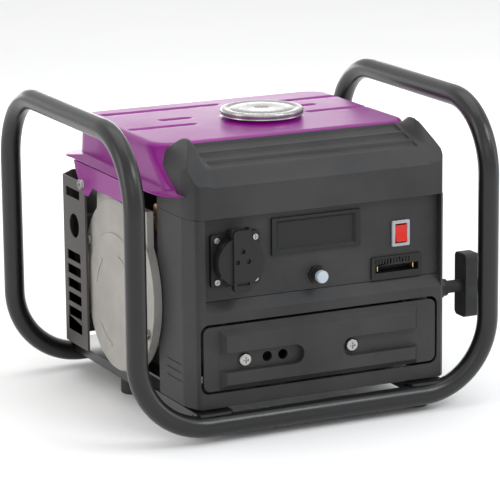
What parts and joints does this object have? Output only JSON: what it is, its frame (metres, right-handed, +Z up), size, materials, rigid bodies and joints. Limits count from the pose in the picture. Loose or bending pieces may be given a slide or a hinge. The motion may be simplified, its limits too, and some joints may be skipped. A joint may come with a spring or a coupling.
{
  "type": "portable generator",
  "caption": "Compact portable petrol generator in a bent-tube carrying frame, with pressed steel fuel tank, recoil starter, and a front panel with lidded mains outlet",
  "frame": {"origin": "on the ground, below the middle of the bounding box", "axes": "+X along the control panel to its right as seen by the user, the panel faces -Y, +Z up"},
  "size_m": [0.394, 0.324, 0.299],
  "materials": {
    "frame_black": "satin",
    "rubber": "matte",
    "zinc_steel": "satin",
    "cast_aluminium": "matte",
    "steel_bright": "polished",
    "copper_windings": "satin",
    "cast_iron": "matte",
    "black_plastic": "matte",
    "charcoal_plastic": "matte",
    "recoil_black": "satin",
    "rope": "matte",
    "foam": "matte",
    "ceramic": "gloss",
    "tank_purple": "gloss",
    "strainer_plastic": "matte",
    "muffler_steel": "matte",
    "brass": "satin",
    "button_grey": "matte",
    "switch_red": "gloss",
    "clear_bezel": "gloss"
  },
  "bodies": {
    "machine": {"alternator_case": "cast_aluminium", "alternator_end_cover": "cast_aluminium", "stator": "copper_windings", "end_cover_bolts": "zinc_steel", "mount_bolts": "zinc_steel", "engine_cradle": "frame_black", "engine_mounts": "rubber", "crankcase": "cast_aluminium", "crank_bearings": "steel_bright", "cylinder": "cast_aluminium", "cylinder_head": "cast_aluminium", "piston": "cast_aluminium", "spark_plug": "ceramic", "plug_cap": "rubber", "carburettor": "cast_aluminium", "air_filter_box": "black_plastic", "air_filter_foam": "foam", "fuel_hose": "rubber", "fuel_tap": "brass", "fuel_tank_lower": "tank_purple", "fuel_tank_upper": "tank_purple", "fuel_strainer": "strainer_plastic", "tank_skirt": "tank_purple", "skirt_screw": "zinc_steel", "fan_shroud": "black_plastic", "recoil_cover": "recoil_black", "recoil_spring": "steel_bright", "muffler": "muffler_steel", "muffler_guard": "muffler_steel", "left_hoop": "frame_black", "right_hoop": "frame_black", "bottom_rails": "frame_black", "cross_members": "frame_black", "rubber_feet": "rubber", "front_housing": "charcoal_plastic", "top_hood": "charcoal_plastic", "control_panel": "charcoal_plastic", "socket_body": "black_plastic", "meter_bezel": "black_plastic", "meter_plate": "black_plastic", "breaker_body": "black_plastic", "rocker_bezel": "clear_bezel", "dc_socket": "black_plastic", "dc_contacts": "brass", "lower_cover": "charcoal_plastic", "panel_screws": "zinc_steel"},
    "crank": {"crankshaft": "steel_bright", "rotor": "copper_windings", "flywheel_fan": "cast_iron"},
    "drum": {"recoil_pulley": "black_plastic", "rope_coil": "rope"},
    "grip": {"starter_handle": "rubber", "starter_rope": "rope"},
    "cap_seal": {"cap_gasket": "rubber"},
    "cap": {"fuel_cap": "steel_bright"},
    "outlet_lid": {"socket_lid": "black_plastic"},
    "rocker": {"rocker_switch": "switch_red"},
    "reset_button": {"breaker_button": "button_grey"},
    "choke": {"choke_lever": "black_plastic"},
    "tap_handle": {"fuel_tap_lever": "brass"}
  },
  "joints": [
    {"name": "crank_spin", "type": "hinge", "parent": "machine", "child": "crank", "pos_m": [0, -0.002, 0.119], "axis": [1, 0, 0], "continuous": true},
    {"name": "drum_spin", "type": "hinge", "parent": "machine", "child": "drum", "pos_m": [0.13, -0.002, 0.119], "axis": [-1, 0, 0], "range_deg": [0, 1273.3], "stiffness_Nm_per_rad": 0.006, "springref_deg": -2578.31},
    {"name": "rope_pull", "type": "slide", "parent": "machine", "child": "grip", "axis": [1, 0, 0], "range_m": [0, 0.6001]},
    {"name": "cap_lift", "type": "slide", "parent": "machine", "child": "cap_seal", "axis": [0, 0, 1], "range_m": [0, 0.06]},
    {"name": "cap_turn", "type": "hinge", "parent": "cap_seal", "child": "cap", "pos_m": [0.016, 0.003, 0.272], "axis": [0, 0, 1], "range_deg": [0, 90]},
    {"name": "lid_open", "type": "hinge", "parent": "machine", "child": "outlet_lid", "pos_m": [-0.0825, -0.1484, 0.1952], "axis": [-1, 0, 0], "range_deg": [0, 110], "stiffness_Nm_per_rad": 0.02, "springref_deg": -34.38},
    {"name": "rocker_tip", "type": "hinge", "parent": "machine", "child": "rocker", "pos_m": [0.091, -0.1334, 0.1733], "axis": [1, 0, 0], "range_deg": [0, 9]},
    {"name": "reset_press", "type": "slide", "parent": "machine", "child": "reset_button", "axis": [0, 1, 0], "range_m": [0, 0.003], "stiffness_N_per_m": 400, "springref_m": -0.002},
    {"name": "choke_turn", "type": "hinge", "parent": "machine", "child": "choke", "pos_m": [0.008, -0.067, 0.172], "axis": [-1, 0, 0], "range_deg": [0, 70]},
    {"name": "tap_turn", "type": "hinge", "parent": "machine", "child": "tap_handle", "pos_m": [-0.1252, -0.062, 0.203], "axis": [1, 0, 0], "range_deg": [0, 90]}
  ],
  "couplings": [
    {"joint": "rope_pull", "follows": "drum_spin", "m_per_rad": 0.027}
  ]
}
